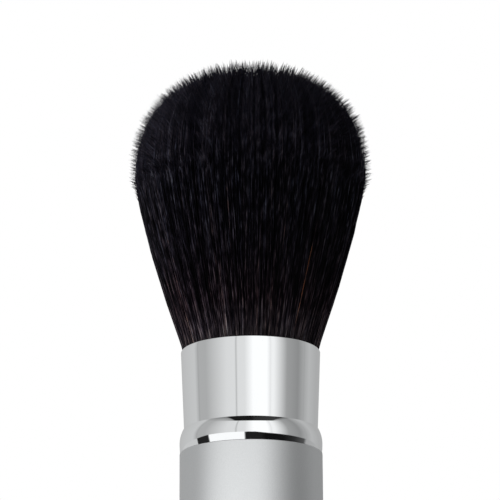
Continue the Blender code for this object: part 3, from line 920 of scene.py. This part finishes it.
def paintScreens(tree, azimuth, facts):
    share = azimuthShare(tree, azimuth)
    room = byAzimuth(tree, share, sideLevels(roomScreens))
    half, edge, beside = facts["gapHalf"], facts["gapEdge"], facts["gapBeside"]
    gaps = byAzimuth(tree, share, [(middle + turn, evenGrey(level)) for middle, left in screenGaps
                                   for turn, level in ((-edge, beside), (-half, left), (half, left),
                                                       (edge, beside))])
    table = byAzimuth(tree, share, [(a, evenGrey(level)) for a, level in tablePicture])
    screens = addNode(tree, "VectorMath", {0: room, 1: gaps}, operation="MULTIPLY").outputs[0]
    return screens, table


def paintLow(tree, azimuth, height, screens, facts):
    leanLow, leanHigh = facts["leanHeights"]
    lean = addNode(tree, "MapRange", {"Value": height, "From Min": leanLow, "From Max": leanHigh,
                                      "To Min": facts["leans"][0], "To Max": facts["leans"][1]})
    leaning = addNode(tree, "Math", {0: azimuth, 1: lean.outputs["Result"]}, operation="MULTIPLY")
    share = azimuthShare(tree, leaning.outputs[0])
    low = byAzimuth(tree, share, sideLevels(lowThings))
    span = facts["reachRange"]
    reach = byAzimuth(tree, share, [(a, evenGrey((level + 1) / span)) for a, level in lowReach])
    over = addNode(tree, "Math", {0: reach, 1: -math.radians(span), 2: height}, operation="MULTIPLY_ADD")
    return addNode(tree, "Mix", {"Factor": heightStep(tree, over.outputs[0], facts["lowEdge"]), "A": low,
                                 "B": screens}, data_type="RGBA").outputs["Result"]


def paintPanel(tree, parts, picture, facts):
    # It is over the camera, and is placed by the side way against the way up
    up = addNode(tree, "Math", {0: parts["Z"], 1: facts["panelLeast"]}, operation="MAXIMUM").outputs[0]
    sideways = addNode(tree, "Math", {0: parts["X"], 1: up}, operation="DIVIDE").outputs[0]
    across = addNode(tree, "MapRange", {"Value": sideways, "From Min": -1, "From Max": 1}).outputs["Result"]
    panel = addNode(tree, "ValToRGB", {"Fac": across}, [(at, evenGrey(part)) for at, part in panelPicture])
    shade = addNode(tree, "ValToRGB", {"Fac": across}, [(at, linearGrey(grey)) for at, grey in panelShades])
    over = addNode(tree, "Math", {0: heightStep(tree, parts["Z"], facts["panelEdge"]),
                                  1: panel.outputs["Color"]}, operation="MULTIPLY")
    return addNode(tree, "Mix", {"Factor": over.outputs[0], "A": picture, "B": shade.outputs["Color"]},
                   data_type="RGBA").outputs["Result"]


def makeWorld(facts):
    world = bpy.context.scene.world or bpy.data.worlds.new("studio")
    bpy.context.scene.world = world
    world.use_nodes = True
    tree = world.node_tree
    tree.nodes.clear()
    place = addNode(tree, "TexCoord").outputs["Generated"]
    parts = addNode(tree, "SeparateXYZ", {"Vector": place}).outputs
    front = addNode(tree, "Math", {0: parts["Y"], 1: -1.0}, operation="MULTIPLY").outputs[0]
    azimuth = addNode(tree, "Math", {0: parts["X"], 1: front}, operation="ARCTAN2").outputs[0]
    screens, table = paintScreens(tree, azimuth, roomFacts)
    picture = paintLow(tree, azimuth, parts["Z"], screens, roomFacts)
    aboveTable = heightStep(tree, parts["Z"], roomFacts["tableEdge"])
    picture = addNode(tree, "Mix", {"Factor": aboveTable, "A": table, "B": picture},
                      data_type="RGBA").outputs["Result"]
    picture = paintPanel(tree, parts, picture, roomFacts)

    # Polished metal sees the picture, the camera white, and all else is lit by a plain ambient
    ray = addNode(tree, "LightPath").outputs
    mirror = addNode(tree, "Math", {0: ray["Is Glossy Ray"], 1: ray["Is Transmission Ray"]},
                     operation="MAXIMUM")
    plain = addNode(tree, "Background", {"Color": linearColour("#FFFFFF"), "Strength": facts["ambient"]})
    seen = addNode(tree, "Background", {"Color": picture, "Strength": 1.0})
    white = addNode(tree, "Background", {"Color": linearColour("#FFFFFF"), "Strength": 1.0})
    first = addNode(tree, "MixShader", {"Fac": mirror.outputs[0], 1: plain.outputs[0], 2: seen.outputs[0]})
    second = addNode(tree, "MixShader", {"Fac": ray["Is Camera Ray"], 1: first.outputs[0],
                                         2: white.outputs[0]})
    addNode(tree, "OutputWorld", {"Surface": second.outputs[0]})


# Matt pale paper, which shows the soft shadow and fades out into the white
def makeFloor(facts):
    bpy.ops.object.select_all(action="DESELECT")
    bpy.ops.mesh.primitive_circle_add(vertices=facts["floorSides"], radius=facts["floorRadius"],
                                      fill_type="NGON", location=(0, 0, -facts["floorGap"]))
    bpy.ops.object.transform_apply(location=True, rotation=False, scale=False)
    floor = bpy.context.object
    floor.name = "floor"
    material, tree, shader, place = newMaterial("palePaper", facts["floorColour"], facts["floorRoughness"])
    distance = addNode(tree, "VectorMath", {0: place}, operation="LENGTH")
    fade = addNode(tree, "MapRange", {"Value": distance.outputs["Value"],
                                      "From Min": facts["fadeFrom"] * facts["floorRadius"],
                                      "From Max": facts["floorRadius"]}, interpolation_type="SMOOTHSTEP")
    clear = addNode(tree, "BsdfTransparent")
    mix = addNode(tree, "MixShader", {"Fac": fade.outputs["Result"], 1: shader.outputs[0],
                                      2: clear.outputs[0]})
    tree.links.new(mix.outputs[0], tree.nodes["Material Output"].inputs["Surface"])
    floor.data.materials.append(material)
    floor.visible_glossy = False


def makeLamp(name, facts, away):
    side = math.radians(facts["azimuth"])
    light = bpy.data.lights.new(name, "AREA")
    light.shape = "RECTANGLE"
    light.size, light.size_y = facts["size"]
    light.energy = facts["power"]
    lamp = bpy.data.objects.new(name, light)
    lamp.visible_glossy = "only" in facts
    lamp.visible_camera = False
    bpy.context.scene.collection.objects.link(lamp)
    if "only" in facts:
        lit = bpy.data.collections.new(name)
        lit.objects.link(bpy.data.objects[facts["only"]])
        lamp.light_linking.receiver_collection = lit
    lamp.location = (away * math.sin(side), -away * math.cos(side), facts["height"])
    aim = Vector((0, 0, neckHigh.z)) - lamp.location
    lamp.rotation_euler = aim.to_track_quat("-Z", "Y").to_euler()


# Camera: looks up at the brush from just below its foot
cameraFacts = {
    "lens": 205.6,
    "sensor": 36,
    "away": 469.2 * mm,
    "below": 121.45 * mm,      # under the neck's rim
    "pitch": 16.571,
    "roll": -0.3,
}


def makeCamera(facts):
    lens = bpy.data.cameras.new("camera")
    lens.lens = facts["lens"]
    lens.sensor_width = facts["sensor"]
    camera = bpy.data.objects.new("camera", lens)
    bpy.context.scene.collection.objects.link(camera)
    camera.location = (0, -facts["away"], neckHigh.z - facts["below"])
    tilt = Matrix.Rotation(math.radians(90 + facts["pitch"]), 4, "X")
    roll = Matrix.Rotation(math.radians(facts["roll"]), 4, "Z")
    camera.rotation_euler = (tilt @ roll).to_euler()
    bpy.context.scene.camera = camera


makeWorld(studioFacts)
makeFloor(studioFacts)
for lampName, oneLamp in lampFacts.items():
    makeLamp(lampName, oneLamp, studioFacts["lampAway"])
makeCamera(cameraFacts)
bpy.context.scene.view_settings.view_transform = "Standard"
print("studio and camera set")
